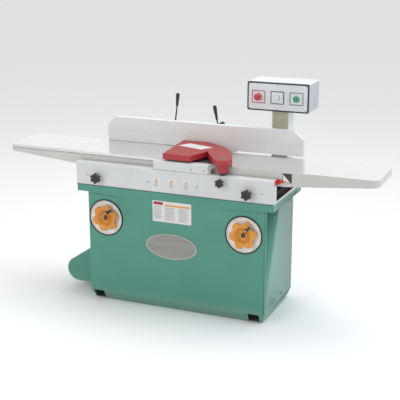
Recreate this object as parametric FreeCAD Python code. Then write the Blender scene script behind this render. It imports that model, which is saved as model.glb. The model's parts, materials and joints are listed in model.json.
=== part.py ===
import FreeCAD, Part
import os
from math import acos, atan2, cos, degrees, pi, radians, sin
from FreeCAD import Vector as V

os.makedirs("parts", exist_ok=True)

# Frame: +Z up, +X from the outfeed end to the infeed end, -Y is the operator's side.
# The origin is on the floor, below the cutterhead and midway through the cabinet's depth.

# ---- driving dimensions (mm) -------------------------------------------------
TABLE_TOP = 812.0          # outfeed table surface above the floor
TABLE_END = 1025.0         # outer end of each table, from the cutterhead
TABLE_FRONT = -185.0
TABLE_BACK = 126.0
INFEED_DROP = 6.0          # depth of cut at rest

CAB_LEFT, CAB_RIGHT = -517.0, 483.0
CAB_HALF = 230.0           # half the cabinet's depth
CAB_TOP = 606.0
SHEET = 3.0

TRAY_LEFT, TRAY_RIGHT = -580.0, 522.0
TRAY_HALF = 232.0
TRAY_TOP = 642.0

BED_FRONT = -230.0
BED_BACK = 171.0
BED_WALL = 40.0
BED_TOP = 766.0
BED_RIM_R = 12.0

HEAD_Z = 762.0             # cutterhead axis
HEAD_R = 46.0
CUT_R = 50.0               # cutting circle, tangent to the outfeed table

WHEEL_X = {"left": -410.0, "right": 367.0}
WHEEL_Z = 472.0
WHEEL_R = 69.0
PAN_R = 93.0
SCREW_Y = -60.0            # plane of the inclined lift screws

# parallelogram rockers and cutter rows
ROCKER_Z = 690.0
ROCKER_R = 9.0
ROCKER_ARM = 34.0
ROCKER_X = (-520.0, -330.0, 330.0, 450.0)
LINK_LEAN = 45.0           # the rocker arms lean outwards by this much at rest
CUT_ROWS = 8
CUT_TURNS = (0.0, 90.0, 180.0, 270.0)

FENCE_FACE = 117.0
FENCE_LEFT, FENCE_RIGHT = -570.0, 562.0
FENCE_BOTTOM, FENCE_TOP = 814.0, 946.0
FENCE_THICK = 32.0
TILT_Y, TILT_Z = 131.0, 822.0

GUARD_X, GUARD_Y = 246.0, -214.0
GUARD_LOW, GUARD_TOP = 820.0, 850.0

POST_X, POST_Y = 395.0, 282.0
BOX_BOTTOM, BOX_TOP = 1027.0, 1180.0
BOX_HALF = 169.0
BOX_FRONT, BOX_BACK = 190.0, 365.0

MOTOR_X, MOTOR_Z = -540.0, 150.0
BELT_Y = 198.0

X_AXIS, Y_AXIS, Z_AXIS = V(1, 0, 0), V(0, 1, 0), V(0, 0, 1)


# ---- helpers ------------------------------------------------------------------
def box(x0, x1, y0, y1, z0, z1):
    return Part.makeBox(x1 - x0, y1 - y0, z1 - z0, V(x0, y0, z0))


def rod_x(x0, x1, y, z, r):
    return Part.makeCylinder(r, x1 - x0, V(x0, y, z), X_AXIS)


def rod_y(x, y0, y1, z, r):
    return Part.makeCylinder(r, y1 - y0, V(x, y0, z), Y_AXIS)


def rod_z(x, y, z0, z1, r):
    return Part.makeCylinder(r, z1 - z0, V(x, y, z0), Z_AXIS)


def rod(a, b, r):
    return Part.makeCylinder(r, (b - a).Length, a, b - a)


def prism_z(points, z0, z1):
    wire = Part.makePolygon([V(x, y, z0) for x, y in points + points[:1]])
    return Part.Face(wire).extrude(V(0, 0, z1 - z0))


def prism_y(points, y0, y1):
    wire = Part.makePolygon([V(x, y0, z) for x, z in points + points[:1]])
    return Part.Face(wire).extrude(V(0, y1 - y0, 0))


def prism_x(points, x0, x1):
    wire = Part.makePolygon([V(x0, y, z) for y, z in points + points[:1]])
    return Part.Face(wire).extrude(V(x1 - x0, 0, 0))


def rounded(shape, axis, r):
    """Fillet the straight edges that run along one axis."""
    along = [e for e in shape.Edges
             if e.Curve.TypeId == "Part::GeomLine" and abs(e.tangentAt(e.FirstParameter).dot(axis)) > 0.999]
    return shape.makeFillet(r, along)


def rounded_box(x0, x1, y0, y1, z0, z1, r, axis=Z_AXIS):
    return rounded(box(x0, x1, y0, y1, z0, z1), axis, r)


def rect_wire(x0, x1, y0, y1, z, r):
    base = rounded_box(x0, x1, y0, y1, z - 1, z, r)
    top = max(base.Faces, key=lambda f: f.CenterOfMass.z)
    return top.OuterWire


def fuse(shapes):
    return shapes[0].multiFuse(shapes[1:]).removeSplitter()


def lobed(count, r_valley, r_lobe, y0, y1, x, z, turn=0.0):
    """A disc across Y with rounded lobes, as on a star knob or a lobed handwheel."""
    body = rod_y(x, y0, y1, z, r_valley)
    reach = r_valley - 0.25 * r_lobe
    lobes = []
    for i in range(count):
        a = radians(turn + 360.0 * i / count)
        lobes.append(rod_y(x + reach * cos(a), y0, y1, z + reach * sin(a), r_lobe))
    return fuse([body] + lobes)


def bolt(base, axis, r_head, head, r_shank, shank):
    """Hex head on the surface at base, shank going the other way."""
    corners = 6
    hexagon = Part.makePolygon([V(r_head * cos(radians(60 * i)), r_head * sin(radians(60 * i)), 0)
                                for i in range(corners)] + [V(r_head, 0, 0)])
    solid = Part.Face(hexagon).extrude(V(0, 0, head))
    if shank > 0:
        solid = solid.fuse(Part.makeCylinder(r_shank, shank, V(0, 0, -shank)))
    solid.Placement = FreeCAD.Placement(base, FreeCAD.Rotation(Z_AXIS, axis))
    return solid


def save(name, shape):
    shape.exportStep("parts/%s.step" % name)
    print("%-22s solids %d  valid %s  volume %.0f" % (name, len(shape.Solids), shape.isValid(), shape.Volume))


def group(shapes):
    return Part.makeCompound(shapes)


# ---- cabinet ------------------------------------------------------------------
TOE_H, TOE_INSET_X, TOE_INSET_Y = 50.0, 17.0, 29.0
CORNER_R = 10.0
MOTOR_HOLE = (-110.0, 214.0, 58.0, 262.0)     # y0, y1, z0, z1 in the left side
ACCESS = (-330.0, 60.0, 130.0, 520.0)        # x0, x1, z0, z1 in the back
DUST_X, DUST_Z, DUST_R = 190.0, 250.0, 63.0
GLAND_X, GLAND_Z = 440.0, 330.0


def cabinet_solid(inset, z_low, z_high):
    toe = Part.makeLoft([
        rect_wire(CAB_LEFT + TOE_INSET_X + inset, CAB_RIGHT - TOE_INSET_X - inset,
                  -CAB_HALF + TOE_INSET_Y + inset, CAB_HALF - TOE_INSET_Y - inset, 0, CORNER_R - inset),
        rect_wire(CAB_LEFT + inset, CAB_RIGHT - inset, -CAB_HALF + inset, CAB_HALF - inset,
                  TOE_H, CORNER_R - inset)], True, True)
    upper = rounded_box(CAB_LEFT + inset, CAB_RIGHT - inset, -CAB_HALF + inset, CAB_HALF - inset,
                        TOE_H, z_high, CORNER_R - inset)
    solid = toe.fuse(upper)
    return solid.common(box(-2000, 2000, -2000, 2000, z_low, z_high))


def sheet_panels(shell, x0, x1, y0, y1, z_cuts, margin):
    """A folded shell as its welded panels: front, back and sides in each layer between the heights."""
    panels = []
    for z0, z1 in zip(z_cuts, z_cuts[1:]):
        m = margin[z0]
        regions = (box(x0 - 1, x1 + 1, y0 - 1, y0 + m, z0, z1), box(x0 - 1, x1 + 1, y1 - m, y1 + 1, z0, z1),
                   box(x0 - 1, x0 + m, y0 + m, y1 - m, z0, z1), box(x1 - m, x1 + 1, y0 + m, y1 - m, z0, z1),
                   box(x0 + m, x1 - m, y0 + m, y1 - m, z0, z1))
        for region in regions:
            panels += shell.common(region).Solids
    return panels


def cabinet_shell():
    shell = cabinet_solid(0, 0, CAB_TOP).cut(cabinet_solid(SHEET, 0, CAB_TOP - SHEET))
    shell = shell.cut(box(CAB_LEFT + 40, CAB_RIGHT - 40, -CAB_HALF + 40, CAB_HALF - 6,
                          CAB_TOP - 10, CAB_TOP + 10))
    for x in WHEEL_X.values():
        shell = shell.cut(rod_y(x, -CAB_HALF - 10, -CAB_HALF + 10, WHEEL_Z, PAN_R + 0.5))
    for x0, x1 in ((-497, -436), (393, 454)):
        shell = shell.cut(rounded_box(x0, x1, -300, 300, -10, 52, 6, Y_AXIS))
    y0, y1, z0, z1 = MOTOR_HOLE
    shell = shell.cut(box(CAB_LEFT - 20, CAB_LEFT + 20, y0, y1, z0, z1))
    x0, x1, z0, z1 = ACCESS
    shell = shell.cut(box(x0, x1, CAB_HALF - 10, CAB_HALF + 10, z0, z1))
    shell = shell.cut(rod_y(DUST_X, CAB_HALF - 10, CAB_HALF + 10, DUST_Z, DUST_R + 0.5))
    shell = shell.cut(rod_y(GLAND_X, CAB_HALF - 10, CAB_HALF + 10, GLAND_Z, 11.2))
    top = CAB_TOP - SHEET
    return group(sheet_panels(shell, CAB_LEFT, CAB_RIGHT, -CAB_HALF, CAB_HALF, (0, TOE_H, top, CAB_TOP),
                              {0: 40.0, TOE_H: CORNER_R + 2, top: 40.0}))


def base_pan():
    x0, x1 = CAB_LEFT + TOE_INSET_X + 6, CAB_RIGHT - TOE_INSET_X - 6
    y = CAB_HALF - TOE_INSET_Y - 6
    return rounded_box(x0, x1, -y, y, 0, 4, 6)


def rear_panel():
    x0, x1, z0, z1 = ACCESS
    plate = rounded_box(x0 - 20, x1 + 20, CAB_HALF, CAB_HALF + 2.5, z0 - 20, z1 + 20, 12, Y_AXIS)
    for i in range(6):
        z = z0 + 90 + 36 * i
        plate = plate.cut(rounded_box(x0 + 110, x1 - 110, CAB_HALF - 5, CAB_HALF + 5, z, z + 10, 4.5, Y_AXIS))
    return plate


def hood_profile(inset):
    """Sloping top, round outer end and flat bottom, as an XZ face."""
    r = 67.0 - inset
    cx, cz = -650.0, 115.0
    slope = radians(33)
    top = V(cx - r * sin(slope), 0, cz + r * cos(slope))
    side = V(CAB_LEFT, 0, top.z + (CAB_LEFT - top.x) * sin(slope) / cos(slope))
    low = V(cx, 0, cz - r)
    base = V(CAB_LEFT, 0, cz - r)
    turn = Part.Arc(top, V(cx - r, 0, cz), low).toShape()
    wire = Part.Wire([Part.LineSegment(base, side).toShape(), Part.LineSegment(side, top).toShape(),
                      turn, Part.LineSegment(low, base).toShape()])
    return Part.Face(wire)


def motor_cover():
    y0, y1 = -130.0, 226.0
    outer = hood_profile(0).extrude(V(0, y1 - y0, 0))
    outer.translate(V(0, y0, 0))
    inner = hood_profile(SHEET).extrude(V(0, y1 - y0 - 2 * SHEET, 0))
    inner.translate(V(0.0, y0 + SHEET, 0))
    shell = outer.cut(inner)
    for z0, z1 in ((0, 40), (290, 330)):
        shell = shell.cut(box(CAB_LEFT - 5, CAB_LEFT + 5, y0 - 5, y1 + 5, z0, z1))
    for i in range(8):
        y = -90 + 36 * i
        shell = shell.cut(box(-700, -600, y, y + 8, 40, 52))
    return shell


def top_tray():
    outer = rounded_box(TRAY_LEFT, TRAY_RIGHT, -TRAY_HALF, TRAY_HALF, CAB_TOP, TRAY_TOP, 8)
    inner = rounded_box(TRAY_LEFT + 4, TRAY_RIGHT - 4, -TRAY_HALF + 4, TRAY_HALF - 4,
                        CAB_TOP + 4, TRAY_TOP - 4, 4)
    tray = outer.cut(inner)
    tray = tray.cut(box(-110, 110, -150, 110, 500, 700))
    tray = tray.cut(box(-185, 65, 175, 222, 500, 700))
    for cx in (-250, 215):
        tray = tray.cut(box(cx - 70, cx + 70, SCREW_Y - 28, SCREW_Y + 28, 500, 700))
    low, high = CAB_TOP + 4, TRAY_TOP - 4
    return group(sheet_panels(tray, TRAY_LEFT, TRAY_RIGHT, -TRAY_HALF, TRAY_HALF,
                              (CAB_TOP, low, high, TRAY_TOP), {CAB_TOP: 10.0, low: 10.0, high: 10.0}))


PAN_DEPTH, WELL_DEPTH, WELL_R = 9.0, 31.0, 36.0


def wheel_pans():
    pans = []
    for x in WHEEL_X.values():
        y0 = -CAB_HALF - 1.0
        pan = rod_y(x, y0, -CAB_HALF + PAN_DEPTH + 3, WHEEL_Z, PAN_R)
        pan = pan.fuse(rod_y(x, -CAB_HALF, -CAB_HALF + WELL_DEPTH + 3, WHEEL_Z, WELL_R + 3))
        pan = pan.cut(rod_y(x, y0 - 1, -CAB_HALF + PAN_DEPTH, WHEEL_Z, PAN_R - 3))
        pan = pan.cut(rod_y(x, y0 - 1, -CAB_HALF + WELL_DEPTH, WHEEL_Z, WELL_R))
        boss = rod_y(x, -CAB_HALF + WELL_DEPTH, -CAB_HALF + 90, WHEEL_Z, 22)
        pan = pan.fuse(boss).cut(rod_y(x, -CAB_HALF, -CAB_HALF + 95, WHEEL_Z, 10.05))
        pans.append(pan)
    return group(pans)


def wheel_trims():
    rings = []
    for x in WHEEL_X.values():
        ring = rod_y(x, -CAB_HALF - 6, -CAB_HALF, WHEEL_Z, 100)
        ring = ring.cut(rod_y(x, -CAB_HALF - 8, -CAB_HALF + 2, WHEEL_Z, PAN_R + 0.5))
        rings.append(ring)
    return group(rings)


def blank_plates():
    label = rounded_box(-136, 82, -CAB_HALF - 1.2, -CAB_HALF, 487, 599, 4, Y_AXIS)
    badge = Part.Face(Part.Wire(Part.Ellipse(V(0, 0, 0), 145, 69).toShape())).extrude(V(0, 0, 4))
    badge.Placement = FreeCAD.Placement(V(-31, -CAB_HALF, 357), FreeCAD.Rotation(X_AXIS, 90))
    plates = [label, badge]
    for x in (-112, -27, 55):
        plates.append(rounded_box(x - 20, x + 20, BED_FRONT - 0.8, BED_FRONT, 664, 722, 3, Y_AXIS))
    return group(plates)


# ---- bed ----------------------------------------------------------------------
BED_FLOOR = 12.0
BLOCK_HALF = 62.0


def bed_wall(y0, y1, round_side):
    wall = box(TRAY_LEFT, TRAY_RIGHT, y0, y1, TRAY_TOP, BED_TOP)
    edges = [e for e in wall.Edges if abs(e.CenterOfMass.z - BED_TOP) < 0.01
             and abs(e.CenterOfMass.y - round_side) < 0.01 and e.Length > 500]
    return wall.makeFillet(BED_RIM_R, edges)


def bed_casting():
    walls = [bed_wall(BED_FRONT, BED_FRONT + BED_WALL, BED_FRONT),
             bed_wall(BED_BACK - BED_WALL, BED_BACK, BED_BACK)]
    inner0, inner1 = BED_FRONT + BED_WALL, BED_BACK - BED_WALL
    parts = walls + [box(TRAY_LEFT, TRAY_RIGHT, inner0, inner1, TRAY_TOP, TRAY_TOP + BED_FLOOR)]
    for x in (TRAY_LEFT + 30, -440, 400, TRAY_RIGHT - 46):
        parts.append(box(x, x + 16, inner0, inner1, TRAY_TOP, 672))
    # seats that carry the two cutterhead bearing blocks
    for y0, y1 in ((inner0, inner0 + 34), (inner1 - 34, inner1)):
        parts.append(box(-BLOCK_HALF, BLOCK_HALF, y0, y1, TRAY_TOP, HEAD_Z - 48))
    bed = fuse(parts)
    bed = bed.cut(box(-75, 75, -148, 88, 600, 700))
    for cx in (-225, 190):
        bed = bed.cut(box(cx - 80, cx + 80, SCREW_Y - 26, SCREW_Y + 26, 600, 680))
    # bores: guard post, rear shaft passage and the rocker shafts
    bed = bed.cut(rod_z(GUARD_X, GUARD_Y, 700, 800, 8.05))
    bed = bed.cut(rod_y(0, BED_BACK - BED_WALL - 1, BED_BACK + 1, HEAD_Z, 30).fuse(
        box(-30, 30, BED_BACK - BED_WALL - 1, BED_BACK + 1, HEAD_Z, HEAD_Z + 20)))
    for x in ROCKER_X:
        bed = bed.cut(rod_y(x, BED_FRONT + 12, BED_BACK - 12, ROCKER_Z, ROCKER_R + 0.05))
    for x, z, depth in ((-452, 689, 14), (388, 689, 14), (GUARD_X, 733, 9)):
        bed = bed.cut(rod_y(x, BED_FRONT - 1, BED_FRONT + depth, z, 5.05))
    return bed


def bearing_block(y0, y1):
    foot = box(-BLOCK_HALF + 4, BLOCK_HALF - 4, y0, y1, HEAD_Z - 48, HEAD_Z - 30)
    block = fuse([foot, rod_y(0, y0, y1, HEAD_Z, 44)]).common(box(-80, 80, y0, y1, HEAD_Z - 48, HEAD_Z + 60))
    return block.cut(rod_y(0, y0 - 1, y1 + 1, HEAD_Z, 15.05))


def rabbet_ledge():
    outline = [(-140, -206), (-128, -232), (172, -232), (204, -190), (-140, -190)]
    ledge = prism_z(outline, BED_TOP, 811)
    edge = [e for e in ledge.Edges
            if abs(e.CenterOfMass.z - 811) < 0.01 and abs(e.CenterOfMass.y + 232) < 0.01]
    ledge = ledge.makeFillet(8, edge)
    return ledge.cut(box(-150, 250, -215, -180, BED_TOP - 1, 792))


def depth_pointer():
    x0 = TRAY_RIGHT
    arrow = prism_y([(x0, 745), (x0 + 16, 745), (x0 + 44, 756), (x0 + 16, 767), (x0, 767)], -190.5, -188.5)
    foot = box(x0, x0 + 3, -224, -188.5, 738, 765)
    return fuse([arrow, foot])


def machine_screws():
    """Every fixed screw of the frame: bed and ledge bolts, panel screws and wall screws."""
    out = []
    for x in (-163, 112):
        out.append(bolt(V(x, BED_FRONT, 692), V(0, -1, 0), 5, 3, 1, 0))
    for x in (-514, 459):
        out.append(bolt(V(x, BED_FRONT, 695), V(0, -1, 0), 5, 3, 1, 0))
    for x in (84, 150):
        out.append(bolt(V(x, -232, 783), V(0, -1, 0), 5, 2.5, 1, 0))
    for x in (BOX_HALF - 14, 0, 14 - BOX_HALF):
        for z in (BOX_BOTTOM + 13, BOX_TOP - 13):
            out.append(bolt(V(POST_X + x, BOX_FRONT - 6, z), V(0, -1, 0), 4, 2.5, 1, 0))
    for y, z in ((-98, 546), (-51, 75), (59, 75), (173, 560), (-98, 75)):
        out.append(bolt(V(CAB_RIGHT, y, z), V(1, 0, 0), 5, 3, 1, 0))
    x0, x1, z0, z1 = ACCESS
    for x in (x0 - 10, x1 + 10):
        for z in (z0 - 10, (z0 + z1) / 2, z1 + 10):
            out.append(bolt(V(x, CAB_HALF + 2.5, z), V(0, 1, 0), 5, 3, 1, 0))
    out.append(bolt(V(TRAY_RIGHT, 150, 624), V(1, 0, 0), 8, 5, 1, 0))
    return group(out)


# ---- drive --------------------------------------------------------------------
MOTOR_R = 78.0


def motor_body():
    body = rod_y(MOTOR_X, -110, 88, MOTOR_Z, MOTOR_R)
    fins = []
    for i in range(20):
        a = radians(18 * i)
        fin = box(-1.5, 1.5, -90, 60, MOTOR_R - 2, MOTOR_R + 3)
        fin.rotate(V(0, 0, 0), Y_AXIS, degrees(a))
        fin.translate(V(MOTOR_X, 0, MOTOR_Z))
        fins.append(fin)
    motor = fuse([body] + fins)
    return motor.cut(rod_y(MOTOR_X, 40, 100, MOTOR_Z, 12.05))


def motor_mount():
    y0, y1 = -100, 60
    foot = box(-600, -380, y0, y1, 62, 68.8)
    upright = box(-400, -380, y0, y1, 4, 62)
    sole = box(-488, -340, y0, y1, 4, 10)
    return fuse([foot, upright, sole])


def motor_pulley():
    shaft = rod_y(MOTOR_X, 45, BELT_Y + 16, MOTOR_Z, 12)
    wheel = rod_y(MOTOR_X, BELT_Y - 16, BELT_Y + 16, MOTOR_Z, 44)
    for y in (-8, 8):
        wheel = wheel.cut(belt_ring(MOTOR_X, MOTOR_Z, y, 36, 46))
    return shaft.fuse(wheel).removeSplitter()


def belt_ring(x, z, dy, r_in, r_out):
    ring = rod_y(x, BELT_Y + dy - 5, BELT_Y + dy + 5, z, r_out)
    return ring.cut(rod_y(x, BELT_Y + dy - 6, BELT_Y + dy + 6, z, r_in))


HEAD_PULLEY_R = 32.0


def drive_belts():
    """Two V-belts: straight runs tangent to both pulleys, joined by arcs."""
    r1, r2 = 37.0, 25.0
    c1, c2 = V(MOTOR_X, 0, MOTOR_Z), V(0, 0, HEAD_Z)
    d = c2 - c1
    base = atan2(d.z, d.x)
    spread = acos((r1 - r2) / d.Length)

    def loop(extra):
        def at(c, r, a):
            return V(c.x + (r + extra) * cos(a), 0, c.z + (r + extra) * sin(a))
        a_up, a_dn = base + spread, base - spread
        p = [at(c1, r1, a_up), at(c2, r2, a_up), at(c2, r2, a_dn), at(c1, r1, a_dn)]
        return Part.Wire([Part.LineSegment(p[0], p[1]).toShape(),
                          Part.Arc(p[1], at(c2, r2, base), p[2]).toShape(),
                          Part.LineSegment(p[2], p[3]).toShape(),
                          Part.Arc(p[3], at(c1, r1, base + pi), p[0]).toShape()])
    belts = []
    for dy in (-8, 8):
        belt = Part.Face(loop(7)).extrude(V(0, 8, 0)).cut(Part.Face(loop(0)).extrude(V(0, 8, 0)))
        belt.translate(V(0, BELT_Y + dy - 4, 0))
        belts.append(belt)
    return group(belts)


def belt_guard():
    x0, x1 = -163, 63
    outer = rounded_box(x0, x1, BED_BACK + 1, 226, TRAY_TOP, 808, 14, Y_AXIS)
    inner = box(x0 + 2, x1 - 2, BED_BACK - 5, 224, TRAY_TOP - 5, 806)
    return outer.cut(inner)


def cutterhead():
    drum = rod_y(0, -150, 92, HEAD_Z, HEAD_R)
    seats = []
    for row in range(CUT_ROWS):
        for turn in CUT_TURNS:
            seats.append(insert_at(row, turn))
    drum = drum.cut(Part.makeCompound(seats))
    shaft = rod_y(0, -186, BELT_Y + 14, HEAD_Z, 15)
    return drum.fuse(shaft).removeSplitter()


def insert_at(row, turn):
    """One square carbide insert set tangentially near the drum's surface."""
    half = 7.0
    chip = box(-half, half, -half, half, HEAD_R - 5, CUT_R - 0.6)
    chip.rotate(V(0, 0, 0), Y_AXIS, turn + 11.25 * row)
    chip.translate(V(0, -132 + 29.5 * row, HEAD_Z))
    return chip


def cutter_inserts():
    return group([insert_at(row, turn) for row in range(CUT_ROWS) for turn in CUT_TURNS])


def cutterhead_pulley():
    wheel = rod_y(0, BELT_Y - 16, BELT_Y + 16, HEAD_Z, HEAD_PULLEY_R)
    for dy in (-8, 8):
        wheel = wheel.cut(belt_ring(0, HEAD_Z, dy, 24, 34))
    return wheel.cut(rod_y(0, BELT_Y - 20, BELT_Y + 14, HEAD_Z, 15))


def dust_port():
    collar = rod_y(DUST_X, CAB_HALF - 4, CAB_HALF + 62, DUST_Z, DUST_R)
    bore = rod_y(DUST_X, CAB_HALF - 5, CAB_HALF + 63, DUST_Z, DUST_R - 2)
    flange = rod_y(DUST_X, CAB_HALF, CAB_HALF + 2.5, DUST_Z, DUST_R + 16)
    port = collar.fuse(flange).cut(bore)
    return port.removeSplitter()


# ---- tables and their lift ----------------------------------------------------
PLATE = 22.0
APRON = 12.0
END_DEPTH, BED_DEPTH = 36.0, 76.0
LUG_Y = ((-120.0, -100.0), (44.0, 64.0))
ARM_Y = ((-140.0, -124.0), (68.0, 84.0))
PIN_R = 5.0
SCREW_R = 9.0
NUT_R = 16.0
NUT_ALONG = 322.0          # distance of the nut from the handwheel's axis, up the screw
LIP_R = {-1: 56.0, 1: 58.0}
RIBS = (80.0, 300.0, 360.0, 420.0, 480.0, 640.0, 830.0)


def table(side):
    """Ribbed casting; side is -1 for the outfeed table and 1 for the infeed table."""
    top = TABLE_TOP - (INFEED_DROP if side > 0 else 0.0)
    outline = [(20, top), (TABLE_END, top), (TABLE_END, top - END_DEPTH), (560, top - BED_DEPTH),
               (76, top - BED_DEPTH), (76, top - 30), (20, top - 30)]
    body = prism_y(outline, TABLE_FRONT, TABLE_BACK)
    corners = [e for e in body.Edges if abs(e.CenterOfMass.x - TABLE_END) < 0.01
               and abs(e.tangentAt(e.FirstParameter).z) > 0.999]
    body = body.makeFillet(38, corners)
    stops = list(RIBS) + [TABLE_END - APRON]
    for a, b in zip(stops[:-1], stops[1:]):
        body = body.cut(box(a + APRON, b, TABLE_FRONT + APRON, TABLE_BACK - APRON, 600, top - PLATE))
    # front apron steps back below the machined edge of the outfeed table
    if side < 0:
        body = body.cut(box(0, TABLE_END + 5, TABLE_FRONT - 1, TABLE_FRONT + 5, top - 19, top - 14))
    lugs = []
    for x in ROCKER_X:
        if x * side > 0:
            px = abs(x) + ROCKER_ARM * sin(radians(LINK_LEAN))
            pz = ROCKER_Z + ROCKER_ARM * cos(radians(LINK_LEAN))
            for y0, y1 in LUG_Y:
                lug = box(px - 16, px + 16, y0, y1, pz - 15, top - PLATE + 1)
                lugs.append(lug.cut(rod_y(px, y0 - 1, y1 + 1, pz, PIN_R + 3.6)))
    start = V(abs(WHEEL_X["right" if side > 0 else "left"]), SCREW_Y, WHEEL_Z)
    way = V(-1, 0, 1).normalize()
    nut = start + way * NUT_ALONG
    hub = box(nut.x - 24, nut.x + 24, SCREW_Y - 30, SCREW_Y + 30, nut.z - 22, top - PLATE + 1)
    hub = hub.cut(rod(nut - way * 80, nut + way * 80, NUT_R).common(box(0, 2000, -500, 500, 0, top - PLATE)))
    body = fuse([body, hub] + lugs)
    body = body.cut(rod_y(0, TABLE_FRONT - 5, TABLE_BACK + 5, HEAD_Z, LIP_R[side]))
    return body if side > 0 else body.mirror(V(0, 0, 0), X_AXIS)


def screw_way(side):
    x = WHEEL_X["right" if side > 0 else "left"]
    return V(x, SCREW_Y, WHEEL_Z), V(-side, 0, 1).normalize()


def lift_nut(side):
    start, way = screw_way(side)
    nut = rod(start + way * (NUT_ALONG - 20), start + way * (NUT_ALONG + 20), NUT_R)
    return nut.cut(rod(start, start + way * 500, SCREW_R + 0.3))


def miter_cone(start, way, near, far, r_near, r_far):
    return Part.makeCone(r_near, r_far, far - near, start + way * near, way)


def lift_screw(side):
    start, way = screw_way(side)
    screw = rod(start + way * 36, start + way * (NUT_ALONG + 30), SCREW_R)
    gear = miter_cone(start, way, 19, 36, 18, 34)
    return gear.fuse(screw).removeSplitter()


def wheel_shaft(side):
    start, _ = screw_way(side)
    shaft = rod_y(start.x, -243, SCREW_Y - 20, WHEEL_Z, 10)
    gear = miter_cone(start, V(0, -1, 0), 20, 36, 17.5, 32.5)
    return shaft.fuse(gear).removeSplitter()


def rocker(index):
    """Rocker shaft with two leaning arms whose pins carry the table's lugs."""
    x = ROCKER_X[index]
    side = 1 if x > 0 else -1
    lean = radians(LINK_LEAN)
    tip = V(x + side * ROCKER_ARM * sin(lean), 0, ROCKER_Z + ROCKER_ARM * cos(lean))
    parts = [rod_y(x, BED_FRONT + 13, BED_BACK - 13, ROCKER_Z, ROCKER_R)]
    for (a0, a1), (l0, l1) in zip(ARM_Y, LUG_Y):
        half = 9.0
        across = V(cos(radians(LINK_LEAN)), 0, -side * sin(radians(LINK_LEAN))) * half
        corner = [V(x, a0, ROCKER_Z) + across, V(x, a0, ROCKER_Z) - across,
                  V(tip.x, a0, tip.z) - across, V(tip.x, a0, tip.z) + across]
        web = Part.Face(Part.makePolygon(corner + corner[:1])).extrude(V(0, a1 - a0, 0))
        parts += [web, rod_y(x, a0, a1, ROCKER_Z, 15), rod_y(tip.x, a0, a1, tip.z, half),
                  rod_y(tip.x, min(a0, l0), max(a1, l1), tip.z, PIN_R)]
    return fuse(parts)


def depth_plate():
    return rounded_box(548, 596, TABLE_FRONT - 1.5, TABLE_FRONT, 752, 798, 2, Y_AXIS)


# ---- handwheels ----------------------------------------------------------------
RIM_FRONT, RIM_BACK = -250.0, -232.0
GRIP_TURN, GRIP_AT = 52.0, 59.0
GRIP_TIP = -306.0
LOBES, VALLEY_R, LOBE_R, LOBE_TURN = 6, 55.0, 19.0, 22.0


def grip_place(side):
    x = WHEEL_X["right" if side > 0 else "left"]
    return x + GRIP_AT * cos(radians(GRIP_TURN)), WHEEL_Z + GRIP_AT * sin(radians(GRIP_TURN))


def handwheel(side):
    x = WHEEL_X["right" if side > 0 else "left"]
    wheel = lobed(LOBES, VALLEY_R, LOBE_R, RIM_FRONT, RIM_BACK, x, WHEEL_Z, LOBE_TURN)
    wheel = wheel.cut(rod_y(x, RIM_FRONT - 1, RIM_FRONT + 10, WHEEL_Z, 42))
    hub = rod_y(x, RIM_FRONT + 8, -206, WHEEL_Z, 20)
    gx, gz = grip_place(side)
    pad = rod_y(gx, RIM_BACK - 8, RIM_BACK, gz, 9)
    wheel = wheel.fuse(hub).fuse(pad).cut(rod_y(x, -243, -200, WHEEL_Z, 10))
    stud = rod_y(gx, GRIP_TIP + 6, RIM_BACK - 4, gz, 4)
    return wheel.fuse(stud).removeSplitter()


def grip(side):
    gx, gz = grip_place(side)
    near = RIM_FRONT - 1.0
    length = near - GRIP_TIP
    body = Part.makeCone(6.5, 9.5, length - 4, V(gx, near, gz), V(0, -1, 0))
    body = body.fuse(Part.makeCone(9.5, 6.5, 4, V(gx, GRIP_TIP + 4, gz), V(0, -1, 0)))
    return body.cut(rod_y(gx, GRIP_TIP + 5, near + 1, gz, 4.06)).removeSplitter()


def star_knob(x, z, r, reach):
    knob = lobed(6, 0.78 * r, 0.3 * r, BED_FRONT - 42, BED_FRONT - 20, x, z, 30.0)
    stem = rod_y(x, BED_FRONT - 20, BED_FRONT - 1, z, 0.4 * r)
    screw = rod_y(x, BED_FRONT - 2, BED_FRONT + reach, z, 5)
    return fuse([knob, stem, screw])


# ---- cutter guard ----------------------------------------------------------------
GUARD_PLAN = [(-80, -219), (-110, 109), (40, 110), (115, 64), (176, 18), (219, -37), (262, -122),
              (291, -205), (283, -240), (260, -259), (234, -260), (210, -243), (112, -89), (72, -225)]
BOSS_R = 27.0
POST_R = 8.0


def cutter_guard():
    body = prism_z(GUARD_PLAN, GUARD_LOW, GUARD_TOP)
    body = body.makeFillet(4, [e for e in body.Edges if abs(e.CenterOfMass.z - GUARD_TOP) < 0.01])
    face = Part.Face(Part.makePolygon([V(x, y, 0) for x, y in GUARD_PLAN + GUARD_PLAN[:1]]))
    pocket = face.makeOffset2D(-7).extrude(V(0, 0, 22))
    pocket.translate(V(0, 0, GUARD_LOW - 1))
    pocket = pocket.cut(rod_z(GUARD_X, GUARD_Y, 800, 860, BOSS_R - 2))
    boss = rod_z(GUARD_X, GUARD_Y, 781, GUARD_TOP - 5, BOSS_R)
    body = body.cut(pocket).fuse(boss)
    return body.cut(rod_z(GUARD_X, GUARD_Y, 700, 842, POST_R + 0.05)).removeSplitter()


def guard_post():
    return fuse([rod_z(GUARD_X, GUARD_Y, 706, 841, POST_R), rod_z(GUARD_X, GUARD_Y, 767, 780, 16)])


# ---- fence ------------------------------------------------------------------------
EAR_X = (-120.0, 90.0)
NOTCH_HALF, EAR_HALF = 19.0, 12.0
CARRIAGE_LOW, CARRIAGE_TOP = 815.2, 833.0
CARRIAGE_FRONT, CARRIAGE_BACK = 172.0, 470.0
LEGS = ((-230.0, -175.0), (75.0, 130.0))
LEVER_Y = 250.0
TILT_LEVER = (-228.0, 852.0)
SLIDE_LEVER = (49.0, 852.0)


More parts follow.
